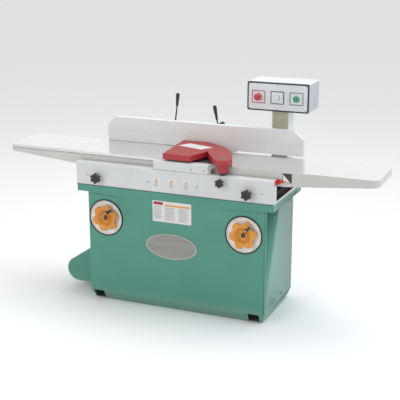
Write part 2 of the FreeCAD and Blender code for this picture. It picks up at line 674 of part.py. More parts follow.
def fence():
    back = FENCE_FACE + FENCE_THICK
    outline = [(FENCE_LEFT, FENCE_BOTTOM), (FENCE_RIGHT, FENCE_BOTTOM), (FENCE_RIGHT, FENCE_TOP - 45),
               (FENCE_RIGHT - 58, FENCE_TOP), (FENCE_LEFT + 48, FENCE_TOP), (FENCE_LEFT, FENCE_TOP - 45)]
    plate = prism_y(outline, FENCE_FACE, back)
    # clearance bevel along the bottom rear edge, for the tilt
    plate = plate.cut(prism_x([(back - 14, FENCE_BOTTOM - 1), (back + 1, FENCE_BOTTOM - 1),
                               (back + 1, FENCE_BOTTOM + 15)], FENCE_LEFT - 1, FENCE_RIGHT + 1))
    # ribbed back: shallow pockets between ribs
    cells = 8
    pitch = (FENCE_RIGHT - FENCE_LEFT - 60) / cells
    for i in range(cells):
        x = FENCE_LEFT + 30 + pitch * i
        if x + pitch < -160 or x > 100:
            pocket = rounded_box(x + 5, x + pitch - 5, FENCE_FACE + 14, back + 1,
                                 FENCE_BOTTOM + 26, FENCE_TOP - 56, 8, Y_AXIS)
            plate = plate.cut(pocket)
    pins = []
    for x in EAR_X:
        plate = plate.cut(box(x - NOTCH_HALF, x + NOTCH_HALF, 124, back + 1,
                              FENCE_BOTTOM - 1, FENCE_BOTTOM + 50))
        pins.append(rod_x(x - NOTCH_HALF - 6, x + NOTCH_HALF + 6, TILT_Y, TILT_Z, 4))
    return fuse([plate] + pins)


def fence_bracket():
    y0 = FENCE_FACE + FENCE_THICK
    plate = rounded_box(-95, 65, y0, y0 + 10, 878, 940, 8, Y_AXIS)
    ribs = [box(x - 5, x + 5, y0 + 9, y0 + 22, 884, 932) for x in (-60, 30)]
    heads = [rod_y(x, y0 + 9, y0 + 15, z, 7) for x in (-80, 50) for z in (892, 926)]
    return fuse([plate] + ribs + heads)


def fence_carriage():
    body = rounded_box(-245, 140, CARRIAGE_FRONT, CARRIAGE_BACK, CARRIAGE_LOW, CARRIAGE_TOP, 10)
    body = body.cut(rounded_box(-160, 60, 300, 430, CARRIAGE_LOW - 1, CARRIAGE_TOP + 1, 12))
    parts = [body]
    for x in EAR_X:
        ear = box(x - EAR_HALF, x + EAR_HALF, TILT_Y, CARRIAGE_FRONT + 2, CARRIAGE_LOW + 0.3, TILT_Z + 6.5)
        parts += [ear, rod_x(x - EAR_HALF, x + EAR_HALF, TILT_Y, TILT_Z, 6.4)]
    for x, z in (TILT_LEVER, SLIDE_LEVER):
        lug = rounded_box(x - 13, x + 13, LEVER_Y + 9, LEVER_Y + 30, CARRIAGE_TOP - 10, z + 15, 6, Y_AXIS)
        parts.append(lug)
    carriage = fuse(parts)
    for x in EAR_X:
        carriage = carriage.cut(rod_x(x - EAR_HALF - 1, x + EAR_HALF + 1, TILT_Y, TILT_Z, 4.05))
    for x, z in (TILT_LEVER, SLIDE_LEVER):
        carriage = carriage.cut(rod_y(x, LEVER_Y + 8, LEVER_Y + 31, z, 6.05))
    return carriage


def fence_support():
    side = [(BED_BACK, 692), (BED_BACK, 815), (450, 815), (450, 785), (260, 760)]
    legs = [prism_x(side, x0, x1) for x0, x1 in LEGS]
    bridge = box(LEGS[0][0], LEGS[1][1], 330, 450, 785, 815)
    support = fuse(legs + [bridge])
    return support.cut(rounded_box(-130, 30, 350, 430, 780, 820, 12))


def clamp_lever(place, top, low, grip_r):
    """Hub and screw across Y, a leaning rod and a tapered grip; top and low are XZ ends of the grip."""
    x, z = place
    hub = rod_y(x, LEVER_Y - 11, LEVER_Y + 8, z, 11)
    screw = rod_y(x, LEVER_Y, LEVER_Y + 34, z, 6)
    foot, knee, tip = V(x, LEVER_Y, z), V(low[0], LEVER_Y, low[1]), V(top[0], LEVER_Y, top[1])
    handle = Part.makeCone(0.6 * grip_r, grip_r, (tip - knee).Length, knee, tip - knee)
    handle = handle.makeFillet(0.45 * grip_r, [max(handle.Edges, key=lambda e: e.CenterOfMass.z)])
    return fuse([hub, screw, rod(foot, knee + (tip - knee) * 0.1, 5), handle])


# ---- switch on its post --------------------------------------------------------------
BUTTON_X = {"stop": POST_X - 105, "lamp": POST_X - 2, "start": POST_X + 102}
BUTTON_Z = 1101.0
GASKET_T, PANEL_T = 3.0, 3.0
PANEL_FACE = BOX_FRONT - GASKET_T - PANEL_T


def pedestal_post():
    y0, y1 = POST_Y - 50, POST_Y + 50
    tube = rounded_box(POST_X - 45, POST_X + 45, y0, y1, 430, BOX_BOTTOM, 6)
    tube = tube.cut(box(POST_X - 42, POST_X + 42, y0 + 3, y1 - 3, 433, BOX_BOTTOM + 1))
    foot = box(POST_X - 65, POST_X + 65, CAB_HALF, y0 + 1, 430, 596)
    return tube.fuse(foot).removeSplitter()


def switch_box():
    x0, x1 = POST_X - BOX_HALF, POST_X + BOX_HALF
    shell = rounded_box(x0, x1, BOX_FRONT, BOX_BACK, BOX_BOTTOM, BOX_TOP, 8, Y_AXIS)
    return shell.cut(box(x0 + 2.5, x1 - 2.5, BOX_FRONT - 1, BOX_BACK - 2.5, BOX_BOTTOM + 2.5, BOX_TOP - 2.5))


def front_frame(y0, y1, inset):
    return rounded_box(POST_X - BOX_HALF + inset, POST_X + BOX_HALF - inset, y0, y1,
                       BOX_BOTTOM + inset, BOX_TOP - inset, 9, Y_AXIS)


def switch_gasket():
    y0, y1 = BOX_FRONT - GASKET_T, BOX_FRONT
    hole = box(POST_X - BOX_HALF + 12, POST_X + BOX_HALF - 12, y0 - 1, y1 + 1, BOX_BOTTOM + 12, BOX_TOP - 12)
    return front_frame(y0, y1, 0).cut(hole)


def switch_panel():
    panel = front_frame(PANEL_FACE, PANEL_FACE + PANEL_T, 4)
    for name, r in (("stop", 11.5), ("lamp", 11), ("start", 11.5)):
        panel = panel.cut(rod_y(BUTTON_X[name], PANEL_FACE - 1, PANEL_FACE + 5, BUTTON_Z, r + 0.5))
    return panel


def button_bezels():
    out = []
    for name, r in (("stop", 11.5), ("lamp", 11), ("start", 11.5)):
        x = BUTTON_X[name]
        plate = rounded_box(x - 35, x + 35, PANEL_FACE - 2, PANEL_FACE,
                            BUTTON_Z - 32, BUTTON_Z + 32, 4, Y_AXIS)
        collar = rod_y(x, PANEL_FACE - 7, PANEL_FACE - 1, BUTTON_Z, r + 7)
        bore = rod_y(x, PANEL_FACE - 8, PANEL_FACE + 1, BUTTON_Z, r)
        out.append(plate.fuse(collar).cut(bore).removeSplitter())
    return group(out)


def power_lamp():
    x = BUTTON_X["lamp"]
    base = rod_y(x, PANEL_FACE - 7, PANEL_FACE + 22, BUTTON_Z, 10.9)
    dome = Part.makeSphere(12.5, V(x, PANEL_FACE - 1, BUTTON_Z))
    dome = dome.common(rod_y(x, PANEL_FACE - 14, PANEL_FACE - 7, BUTTON_Z, 10.9))
    return base.fuse(dome).removeSplitter()


def push_button(name, cap_r, proud):
    x = BUTTON_X[name]
    stem = rod_y(x, PANEL_FACE - 14, PANEL_FACE + 26, BUTTON_Z, 11)
    cap = rod_y(x, PANEL_FACE - 14 - proud, PANEL_FACE - 13, BUTTON_Z, cap_r)
    front = [e for e in cap.Edges
             if e.Curve.TypeId == "Part::GeomCircle" and e.CenterOfMass.y < PANEL_FACE - 14]
    cap = cap.makeFillet(0.6 * proud, front)
    return cap.fuse(stem).removeSplitter()


def cord_gland():
    body = rod_y(GLAND_X, CAB_HALF - 8, CAB_HALF + 22, GLAND_Z, 11)
    nut = bolt(V(GLAND_X, CAB_HALF, GLAND_Z), V(0, 1, 0), 17, 8, 5, 0)
    return body.fuse(nut).cut(rod_y(GLAND_X, CAB_HALF - 10, CAB_HALF + 30, GLAND_Z, 6)).removeSplitter()


# ---- write every sub-part -------------------------------------------------------------
OUT, INFEED = -1, 1
NODES = {
    "cabinet_shell": cabinet_shell(), "base_pan": base_pan(), "rear_panel": rear_panel(),
    "motor_cover": motor_cover(), "top_tray": top_tray(), "wheel_pans": wheel_pans(),
    "wheel_trims": wheel_trims(), "blank_plates": blank_plates(),
    "bed_casting": bed_casting(), "rabbet_ledge": rabbet_ledge(), "depth_pointer": depth_pointer(),
    "machine_screws": machine_screws(),
    "bearing_block_front": bearing_block(-190, -156), "bearing_block_rear": bearing_block(97, 131),
    "motor_body": motor_body(), "motor_mount": motor_mount(), "motor_pulley": motor_pulley(),
    "drive_belts": drive_belts(), "belt_guard": belt_guard(),
    "cutterhead": cutterhead(), "cutter_inserts": cutter_inserts(), "cutterhead_pulley": cutterhead_pulley(),
    "dust_port": dust_port(),
    "outfeed_table": table(OUT), "infeed_table": table(INFEED), "depth_plate": depth_plate(),
    "lift_nut_left": lift_nut(OUT), "lift_nut_right": lift_nut(INFEED),
    "lift_screw_left": lift_screw(OUT), "lift_screw_right": lift_screw(INFEED),
    "wheel_shaft_left": wheel_shaft(OUT), "wheel_shaft_right": wheel_shaft(INFEED),
    "rocker_1": rocker(0), "rocker_2": rocker(1), "rocker_3": rocker(2), "rocker_4": rocker(3),
    "handwheel_left": handwheel(OUT), "handwheel_right": handwheel(INFEED),
    "grip_left": grip(OUT), "grip_right": grip(INFEED),
    "knob_left": star_knob(-452, 689, 27, 12), "knob_right": star_knob(388, 689, 27, 12),
    "knob_guard": star_knob(GUARD_X, 733, 22, 7),
    "cutter_guard": cutter_guard(), "guard_post": guard_post(),
    "fence": fence(), "fence_bracket": fence_bracket(), "fence_carriage": fence_carriage(),
    "fence_support": fence_support(),
    "tilt_lever": clamp_lever(TILT_LEVER, (-203, 1078), (-209, 1003), 10),
    "slide_lever": clamp_lever(SLIDE_LEVER, (14, 1024), (29, 945), 10),
    "pedestal_post": pedestal_post(), "switch_box": switch_box(), "switch_gasket": switch_gasket(),
    "switch_panel": switch_panel(), "button_bezels": button_bezels(), "power_lamp": power_lamp(),
    "stop_button": push_button("stop", 18, 12), "start_button": push_button("start", 15, 5),
    "cord_gland": cord_gland(),
}
for name, shape in NODES.items():
    save(name, shape)
print("nodes", len(NODES))
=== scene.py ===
import json
import math

import bmesh
import bpy
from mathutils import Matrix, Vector


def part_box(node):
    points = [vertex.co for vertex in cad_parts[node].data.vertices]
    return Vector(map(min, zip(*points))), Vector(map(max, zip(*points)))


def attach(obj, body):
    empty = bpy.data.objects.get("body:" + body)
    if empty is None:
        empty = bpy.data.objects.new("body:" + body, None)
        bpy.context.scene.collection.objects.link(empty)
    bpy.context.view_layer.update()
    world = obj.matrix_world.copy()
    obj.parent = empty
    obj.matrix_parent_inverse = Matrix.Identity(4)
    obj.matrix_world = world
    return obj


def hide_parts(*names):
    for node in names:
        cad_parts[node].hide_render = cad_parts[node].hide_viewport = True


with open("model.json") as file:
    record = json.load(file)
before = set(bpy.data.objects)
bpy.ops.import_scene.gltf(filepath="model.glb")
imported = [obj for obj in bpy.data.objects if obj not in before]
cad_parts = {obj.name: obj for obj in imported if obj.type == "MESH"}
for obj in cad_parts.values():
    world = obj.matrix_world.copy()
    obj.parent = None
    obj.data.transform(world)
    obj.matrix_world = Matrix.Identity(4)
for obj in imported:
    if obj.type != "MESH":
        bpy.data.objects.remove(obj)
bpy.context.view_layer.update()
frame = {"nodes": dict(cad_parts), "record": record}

NODES = frame["nodes"]
MM = 0.001


# ------------------------------------------------------------------ materials

def new_group(name, inputs, outputs):
    """An empty node group with typed sockets."""
    group = bpy.data.node_groups.new(name, "ShaderNodeTree")
    for label, kind, value in inputs:
        socket = group.interface.new_socket(label, in_out="INPUT", socket_type="NodeSocket" + kind)
        socket.default_value = value
    for label, kind in outputs:
        group.interface.new_socket(label, in_out="OUTPUT", socket_type="NodeSocket" + kind)
    return group, group.nodes.new("NodeGroupInput"), group.nodes.new("NodeGroupOutput")


def node(tree, kind, **settings):
    """Adds a shader node with some of its settings."""
    made = tree.nodes.new("ShaderNode" + kind)
    for key, value in settings.items():
        setattr(made, key, value)
    return made


def surface_group():
    """Colour and roughness that vary over the surface, with a fine height for a bump."""
    group, gin, gout = new_group(
        "surface",
        [("Base", "Color", (0.5, 0.5, 0.5, 1)), ("Shade", "Color", (0.4, 0.4, 0.4, 1)),
         ("Rough", "Float", 0.5), ("Spread", "Float", 0.1),
         ("Stretch", "Vector", (1, 1, 1)), ("Fine", "Float", 400.0), ("Dust", "Float", 0.0)],
        [("Color", "Color"), ("Roughness", "Float"), ("Height", "Float")])
    link = group.links.new
    place = node(group, "TexCoord")
    stretch = node(group, "VectorMath", operation="MULTIPLY")
    link(place.outputs["Object"], stretch.inputs[0])
    link(gin.outputs["Stretch"], stretch.inputs[1])
    broad = node(group, "TexNoise")
    broad.inputs["Scale"].default_value = 5.0
    broad.inputs["Detail"].default_value = 5.0
    link(stretch.outputs[0], broad.inputs["Vector"])
    fine = node(group, "TexNoise")
    fine.inputs["Detail"].default_value = 3.0
    link(stretch.outputs[0], fine.inputs["Vector"])
    link(gin.outputs["Fine"], fine.inputs["Scale"])
    blend = node(group, "MapRange")
    blend.inputs["From Min"].default_value = 0.35
    blend.inputs["From Max"].default_value = 0.7
    link(broad.outputs["Fac"], blend.inputs["Value"])
    tint = node(group, "Mix", data_type="RGBA")
    link(blend.outputs[0], tint.inputs["Factor"])
    link(gin.outputs["Base"], tint.inputs["A"])
    link(gin.outputs["Shade"], tint.inputs["B"])
    split = node(group, "SeparateXYZ")
    link(place.outputs["Object"], split.inputs[0])
    low = node(group, "MapRange")
    low.inputs["From Min"].default_value = 0.10
    low.inputs["From Max"].default_value = 0.0
    link(split.outputs["Z"], low.inputs["Value"])
    settle = node(group, "Math", operation="MULTIPLY")
    link(low.outputs[0], settle.inputs[0])
    link(gin.outputs["Dust"], settle.inputs[1])
    patch = node(group, "Math", operation="MULTIPLY", use_clamp=True)
    link(settle.outputs[0], patch.inputs[0])
    link(broad.outputs["Fac"], patch.inputs[1])
    dusty = node(group, "Mix", data_type="RGBA")
    dusty.inputs["B"].default_value = (0.42, 0.38, 0.32, 1)
    link(patch.outputs[0], dusty.inputs["Factor"])
    link(tint.outputs["Result"], dusty.inputs["A"])
    link(dusty.outputs["Result"], gout.inputs["Color"])
    centre = node(group, "Math", operation="SUBTRACT")
    centre.inputs[1].default_value = 0.5
    link(fine.outputs["Fac"], centre.inputs[0])
    vary = node(group, "Math", operation="MULTIPLY_ADD", use_clamp=True)
    link(centre.outputs[0], vary.inputs[0])
    link(gin.outputs["Spread"], vary.inputs[1])
    link(gin.outputs["Rough"], vary.inputs[2])
    link(vary.outputs[0], gout.inputs["Roughness"])
    link(fine.outputs["Fac"], gout.inputs["Height"])
    return group


SURFACE = surface_group()


def finish(name, base, shade=None, rough=0.4, spread=0.1, metal=0.0, coat=0.0, fine=400.0,
           stretch=(1, 1, 1), bump=0.1, depth=0.0003, dust=0.0):
    """A material whose colour, roughness and bump come from the surface group."""
    shade = shade or [c * 0.88 for c in base]
    mat = bpy.data.materials.new(name)
    mat.use_nodes = True
    tree = mat.node_tree
    shader = tree.nodes["Principled BSDF"]
    group = tree.nodes.new("ShaderNodeGroup")
    group.node_tree = SURFACE
    group.inputs["Base"].default_value = (*base, 1)
    group.inputs["Shade"].default_value = (*shade, 1)
    group.inputs["Rough"].default_value = rough
    group.inputs["Spread"].default_value = spread
    group.inputs["Stretch"].default_value = stretch
    group.inputs["Fine"].default_value = fine
    group.inputs["Dust"].default_value = dust
    relief = node(tree, "Bump")
    relief.inputs["Strength"].default_value = bump
    relief.inputs["Distance"].default_value = depth
    tree.links.new(group.outputs["Color"], shader.inputs["Base Color"])
    tree.links.new(group.outputs["Roughness"], shader.inputs["Roughness"])
    tree.links.new(group.outputs["Height"], relief.inputs["Height"])
    tree.links.new(relief.outputs["Normal"], shader.inputs["Normal"])
    shader.inputs["Metallic"].default_value = metal
    shader.inputs["Coat Weight"].default_value = coat
    shader.inputs["Coat Roughness"].default_value = 0.12
    return mat


MATERIALS = {
    # darker copy of the box paint for the box's +X side: painted shade
    "box_side_painted_shade": finish("box_side_painted_shade", (0.45, 0.475, 0.50), rough=0.45, fine=320),
    # lighter, bluish copy of the post paint for the post's +X side: painted light
    "post_side_painted_light": finish("post_side_painted_light", (0.66, 0.68, 0.69), rough=0.45, fine=260),
    # pale red for the guard's rounded edges: painted highlight along the rims
    "guard_edge_painted_highlight": finish("guard_edge_painted_highlight", (0.62, 0.2, 0.17), rough=0.5, fine=400),
    # near-black green for the line under the bed's edge: painted shadow
    "seam_painted_shadow": finish("seam_painted_shadow", (0.012, 0.06, 0.045), rough=0.6, fine=500),
    # darker green for the strips along the panel's pressed lines: painted shadow
    "press_line_painted_shadow": finish("press_line_painted_shadow", (0.045, 0.19, 0.14), rough=0.45, fine=500),
    "panel_face": finish("panel_face", (0.74, 0.765, 0.775), rough=0.45, fine=500, bump=0.05),
    "frame_red": finish("frame_red", (0.52, 0.10, 0.12), rough=0.45, fine=700, bump=0.02),
    "frame_dark": finish("frame_dark", (0.055, 0.06, 0.065), rough=0.45, fine=700, bump=0.02),
    "frame_green": finish("frame_green", (0.16, 0.22, 0.20), rough=0.45, fine=700, bump=0.02),
    "apron_paint": finish("apron_paint", (0.57, 0.56, 0.53), (0.53, 0.52, 0.49), 0.5, 0.1, fine=150, bump=0.3,
                          depth=0.0005),
    "casting_shadow": finish("casting_shadow", (0.06, 0.06, 0.06), rough=0.7, fine=150, bump=0.4,
                             depth=0.0006),
    "guard_top": finish("guard_top", (0.34, 0.042, 0.038), (0.31, 0.036, 0.032), 0.62, 0.1, fine=260,
                        bump=0.35, depth=0.0004),
    "label_orange": finish("label_orange", (0.8, 0.32, 0.04), rough=0.4, fine=900, bump=0.02),
    "label_red": finish("label_red", (0.34, 0.03, 0.05), rough=0.4, fine=900, bump=0.02),
    "label_grey": finish("label_grey", (0.36, 0.36, 0.36), rough=0.45, fine=900, bump=0.02),
    "badge_rim": finish("badge_rim", (0.42, 0.41, 0.38), rough=0.3, metal=0.9, fine=600),
    "badge_face": finish("badge_face", (0.25, 0.245, 0.23), (0.32, 0.31, 0.29), 0.36, 0.2, metal=0.8,
                         stretch=(1, 1, 12), fine=160),
    "green_paint": finish("green_paint", (0.060, 0.265, 0.20), (0.054, 0.245, 0.185), 0.36, 0.12, coat=0.25,
                          fine=260, bump=0.12, dust=0.5),
    "dark_steel": finish("dark_steel", (0.035, 0.04, 0.04), rough=0.5, fine=300, dust=0.8),
    "white_pan": finish("white_pan", (0.90, 0.895, 0.88), rough=0.35, coat=0.2),
    "black_trim": finish("black_trim", (0.02, 0.022, 0.024), rough=0.6, fine=700),
    "label": finish("label", (0.72, 0.71, 0.69), rough=0.4, fine=900, bump=0.03),
    "white_paint": finish("white_paint", (0.64, 0.65, 0.655), (0.6, 0.61, 0.615), 0.38, 0.12, coat=0.2,
                          fine=180, bump=0.25, depth=0.0004),
    "red_pointer": finish("red_pointer", (0.62, 0.02, 0.025), rough=0.35, coat=0.3),
    "zinc_screws": finish("zinc_screws", (0.42, 0.43, 0.44), rough=0.36, metal=1.0, fine=800),
    "bearing_iron": finish("bearing_iron", (0.2, 0.2, 0.21), rough=0.5, metal=0.8, fine=600),
    "motor_grey": finish("motor_grey", (0.1, 0.105, 0.11), rough=0.45),
    "pulley_iron": finish("pulley_iron", (0.25, 0.25, 0.26), rough=0.42, metal=0.9),
    "belt_rubber": finish("belt_rubber", (0.015, 0.015, 0.016), rough=0.75, fine=900),
    "guard_sheet": finish("guard_sheet", (0.6, 0.61, 0.62), rough=0.4, fine=250),
    "head_steel": finish("head_steel", (0.42, 0.43, 0.45), rough=0.28, metal=1.0, stretch=(1, 8, 1),
                         fine=300),
    "carbide": finish("carbide", (0.36, 0.36, 0.38), rough=0.2, metal=1.0, fine=900),
    "port_black": finish("port_black", (0.02, 0.02, 0.021), rough=0.55, fine=700),
    "ground_iron": finish("ground_iron", (0.70, 0.705, 0.71), (0.64, 0.645, 0.65), 0.2, 0.12, metal=0.85,
                          stretch=(1, 14, 1), fine=130, bump=0.05, depth=0.0001),
    "scale_plate": finish("scale_plate", (0.02, 0.02, 0.022), rough=0.35, coat=0.2),
    "bronze": finish("bronze", (0.42, 0.27, 0.1), rough=0.35, metal=1.0),
    "orange_plastic": finish("orange_plastic", (0.70, 0.30, 0.03), (0.62, 0.22, 0.018), 0.32, 0.1, coat=0.3,
                             fine=350, bump=0.15),
    "black_plastic": finish("black_plastic", (0.026, 0.024, 0.022), (0.02, 0.019, 0.018), 0.38, 0.16,
                            fine=500, bump=0.2),
    "red_paint": finish("red_paint", (0.40, 0.022, 0.028), (0.36, 0.018, 0.024), 0.42, 0.12, coat=0.15,
                        fine=220, bump=0.25, depth=0.0004),
    "fence_iron": finish("fence_iron", (0.79, 0.785, 0.775), (0.74, 0.735, 0.725), 0.46, 0.12, metal=0.15,
                         stretch=(1, 10, 10), fine=90, bump=0.05, depth=0.0001),
    "grey_casting": finish("grey_casting", (0.5, 0.51, 0.52), rough=0.48, fine=160, bump=0.35, depth=0.0005),
    # the post is white; this beige stands for its front face in shade: painted shade
    "post_paint": finish("post_paint", (0.46, 0.415, 0.31), (0.43, 0.385, 0.285), 0.42, 0.1, coat=0.15,
                         fine=260),
    "box_paint": finish("box_paint", (0.66, 0.69, 0.70), (0.63, 0.66, 0.67), 0.42, 0.1, coat=0.1, fine=320,
                        bump=0.2),
    "bezel_grey": finish("bezel_grey", (0.66, 0.68, 0.69), rough=0.45, fine=600),
    "lamp_lens": finish("lamp_lens", (0.78, 0.79, 0.78), rough=0.12, coat=0.6, fine=500, bump=0.02),
    "red_button": finish("red_button", (0.6, 0.012, 0.02), rough=0.28, coat=0.4, fine=600, bump=0.03),
    "green_button": finish("green_button", (0.02, 0.3, 0.13), rough=0.28, coat=0.4, fine=600, bump=0.03),
}


# ------------------------------------------------------------------ CAD nodes carried over

SLOTS = {row["node"]: row["material_slot"] for row in frame["record"]["subparts"]}
SHARP_ANGLE = math.radians(34)
WELD_DISTANCE = 0.00002
PLAIN_EDGE = 0.6
SOFT_EDGES = {
    "bed_casting": 3.0, "cutter_guard": 2.2, "infeed_table": 1.2, "outfeed_table": 1.2, "switch_box": 2.5,
    "pedestal_post": 3.5, "fence": 1.4, "motor_cover": 6.0, "top_tray": 2.0, "rabbet_ledge": 3.0,
    "cabinet_shell": 1.2, "fence_carriage": 3.0, "fence_support": 3.0, "fence_bracket": 2.0}


def round_edges(obj, width, segments):
    """Rounds the sharp edges with modifiers; the width is in millimetres."""
    bevel = obj.modifiers.new("bevel", "BEVEL")
    bevel.width = width * MM
    bevel.segments = segments
    bevel.limit_method = "ANGLE"
    bevel.angle_limit = SHARP_ANGLE
    bevel.use_clamp_overlap = True
    flat = obj.modifiers.new("normals", "WEIGHTED_NORMAL")
    flat.weight = 100
    flat.keep_sharp = True


def smooth_shade(mesh):
    for face in mesh.polygons:
        face.use_smooth = True


for name, obj in NODES.items():
    obj.data.materials.clear()
    obj.data.materials.append(MATERIALS[SLOTS[name]])
    smooth_shade(obj.data)
    weld = obj.modifiers.new("weld", "WELD")
    weld.merge_threshold = WELD_DISTANCE
    round_edges(obj, SOFT_EDGES.get(name, PLAIN_EDGE), 3 if name in SOFT_EDGES else 2)


# ------------------------------------------------------------------ builders for the new pieces

# turned shapes that close on their own line stop at this radius, so that no edge has zero length
AXIS_RADIUS = 0.01


def piece(name, mesh, slot, body, replaces=(), edge=0.0, material=None):
    """Adds a finished mesh to the scene, riding on its CAD body."""
    obj = bpy.data.objects.new(name, mesh)
    bpy.context.scene.collection.objects.link(obj)
    mesh.materials.append(material or MATERIALS[slot])
    smooth_shade(mesh)
    mesh.set_sharp_from_angle(angle=SHARP_ANGLE)
    if edge:
        round_edges(obj, edge, 3)
    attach(obj, body)
    if replaces:
        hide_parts(*replaces)


def from_bmesh(name, bm):
    """Turns the working mesh into a finished one, with its normals outwards."""
    bmesh.ops.recalc_face_normals(bm, faces=bm.faces)
    mesh = bpy.data.meshes.new(name)
    bm.to_mesh(mesh)
    bm.free()
    return mesh


def add_rings(bm, rings, caps=True):
    """Joins closed rings of points, in millimetres, with quads, and caps the two ends."""
    made = [[bm.verts.new(Vector(p) * MM) for p in ring] for ring in rings]
    count = len(made[0])
    for low, high in zip(made, made[1:]):
        for i in range(count):
            k = (i + 1) % count
            bm.faces.new((low[i], low[k], high[k], high[i]))
    if caps:
        bm.faces.new(made[0])
        bm.faces.new(list(reversed(made[-1])))
    return made


def rings_mesh(name, rings):
    bm = bmesh.new()
    add_rings(bm, rings)
    return from_bmesh(name, bm)


def around_y(x, z, profile, radius_at=None, count=96):
    """Rings about a line along Y: profile rows are (radius, y, share of the lobed outline)."""
    rings = []
    for r, y, *rest in profile:
        share = rest[0] if rest else 0.0
        ring = []
        for i in range(count):
            a = 2 * math.pi * i / count
            radius = r + (share * radius_at(a) if radius_at else 0.0)
            ring.append((x + radius * math.cos(a), y, z + radius * math.sin(a)))
        rings.append(ring)
    return rings


def lathe_y(name, x, z, profile, count=64):
    """A turned shape about a line along Y."""
    return rings_mesh(name, around_y(x, z, profile, count=count))


def hoop_y(name, x, z, profile, count=128):
    """A turned shape with an open middle: the profile's first and last rings are joined."""
    bm = bmesh.new()
    add_rings(bm, around_y(x, z, profile, count=count), caps=False)
    bmesh.ops.bridge_loops(bm, edges=[e for e in bm.edges if e.is_boundary])
    return from_bmesh(name, bm)


def lobe_profile(core, lobes, at, lobe_r, turn, samples=720, spread=9):
    """How far the outline of a lobed wheel stands out beyond its core radius, at an angle."""
    def out(angle):
        best = core
        for k in range(lobes):
            d = angle - math.radians(turn + 360 * k / lobes)
            side = at * math.sin(d)
            if abs(side) < lobe_r and math.cos(d) > 0:
                best = max(best, at * math.cos(d) + math.sqrt(lobe_r ** 2 - side ** 2))
        return best - core
    raw = [out(2 * math.pi * i / samples) for i in range(samples)]
    near = range(-spread, spread + 1)
    smooth = [sum(raw[(i + k) % samples] for k in near) / len(near) for i in range(samples)]
    return lambda a: smooth[int(round(a / (2 * math.pi) * samples)) % samples]


def handwheel_mesh(name, x, z, turn):
    """A six-lobed dished wheel with a rolled rim, turned by an angle in degrees."""
    outline = lobe_profile(58.0, 6, 50.0, 24.0, turn)
    profile = [
        (AXIS_RADIUS, -208.0), (19, -208.0), (20, -210.0), (21, -216.0), (34, -226.0), (50, -232.5, 0.6),
        (56.5, -234, 1), (58, -237, 1), (58, -244, 1), (57, -247.6, 1), (54.5, -249.6, 1), (51.5, -250, 0.95),
        (48, -249.6, 0.75), (44.5, -247.5, 0.3), (41, -243.5, 0.0), (37, -238.0), (31, -231.0), (26, -227.4),
        (23.5, -227.2), (22, -228.6), (21, -232.6), (19.5, -234.0), (15.5, -234.4), (12.5, -233.8),
        (11.2, -232.0), (10.8, -214.0), (AXIS_RADIUS, -213.8)]
    return rings_mesh(name, around_y(x, z, profile, outline, 216))


def knob_mesh(name, x, z, r):
    """A six-lobed clamp knob of radius r, standing off the bed's front."""
    outline = lobe_profile(0.80 * r, 6, 0.78 * r, 0.27 * r, 30.0)
    rows = [
        (0, 1.2), (0.34, 1.2), (0.36, 3), (0.36, 17), (0.42, 19.5), (0.7, 20.5, 0.6), (0.78, 22, 1),
        (0.80, 25, 1), (0.80, 36, 1), (0.77, 39.5, 1), (0.70, 41.5, 0.9), (0.55, 42, 0.5), (0.40, 41.6),
        (0.37, 40.2), (0.34, 40.0), (0.30, 41.6), (0.15, 42.0), (0, 42.0)]
    profile = [(max(share * r, AXIS_RADIUS), BED_FACE - out, *lobed) for share, out, *lobed in rows]
    return rings_mesh(name, around_y(x, z, profile, outline, 144))


def rounded_outline(x0, x1, z0, z1, r, steps=6):
    """Corner-rounded rectangle as (x, z) points, in millimetres."""
    points = []
    corners = ((x1 - r, z1 - r, 0), (x0 + r, z1 - r, 90), (x0 + r, z0 + r, 180), (x1 - r, z0 + r, 270))
    for cx, cz, start in corners:
        for k in range(steps + 1):
            a = math.radians(start + 90 * k / steps)
            points.append((cx + r * math.cos(a), cz + r * math.sin(a)))
    return points


def ellipse(centre, half_width, half_height, count):
    turns = (2 * math.pi * k / count for k in range(count))
    return [(centre[0] + half_width * math.cos(a), centre[1] + half_height * math.sin(a)) for a in turns]


def front_plate(name, outline, back, thick, dome=0.0):
    """A thin plate facing the front, from (x, z) points, with a softened edge."""
    cx = sum(p[0] for p in outline) / len(outline)
    cz = sum(p[1] for p in outline) / len(outline)

    def ring(y, inset):
        made = []
        for x, z in outline:
            d = math.hypot(x - cx, z - cz)
            k = (d - inset) / d
            made.append((cx + (x - cx) * k, y, cz + (z - cz) * k))
        return made

    edge = min(0.35 * thick, 0.4)
    rings = [ring(back, 0), ring(back - thick + edge, 0), ring(back - thick, edge)]
    if dome:
        rings += [ring(back - thick - dome * 0.7, 4), ring(back - thick - dome, 9)]
    return rings_mesh(name, rings)


def top_plate(name, outline, low, thick):
    """A thin plate facing up, from (x, y) points."""
    return rings_mesh(name, [[(x, y, z) for x, y in outline] for z in (low, low + thick)])


def rules(name, columns, back):
    """Rows of thin grey bars that stand for blank lines."""
    bm = bmesh.new()
    for x0, x1, z_top, z_low, rows in columns:
        pitch = (z_top - z_low) / rows
        for k in range(rows):
            z = z_top - pitch * k
            short = x1 - (x1 - x0) * (0.08 + 0.27 * ((k * 7) % 5) / 5)
            corners = [(x0, z - pitch * 0.45), (short, z - pitch * 0.45), (short, z), (x0, z)]
            add_rings(bm, [[(x, y, q) for x, q in corners] for y in (back, back - PRINT_THICK)])
    return from_bmesh(name, bm)


def frame_ring(name, x0, x1, z0, z1, r, width, back, thick):
    """A flat rectangular ring with rounded corners, facing the front."""
    outer = rounded_outline(x0, x1, z0, z1, r)
    inner = rounded_outline(x0 + width, x1 - width, z0 + width, z1 - width, max(r - width, 0.6))
    bm = bmesh.new()
    made = add_rings(bm, [[(x, y, z) for x, z in loop] for loop, y in (
        (outer, back), (outer, back - thick), (inner, back - thick), (inner, back))], caps=False)
    count = len(outer)
    for i in range(count):
        k = (i + 1) % count
        bm.faces.new((made[3][i], made[3][k], made[0][k], made[0][i]))
    return from_bmesh(name, bm)


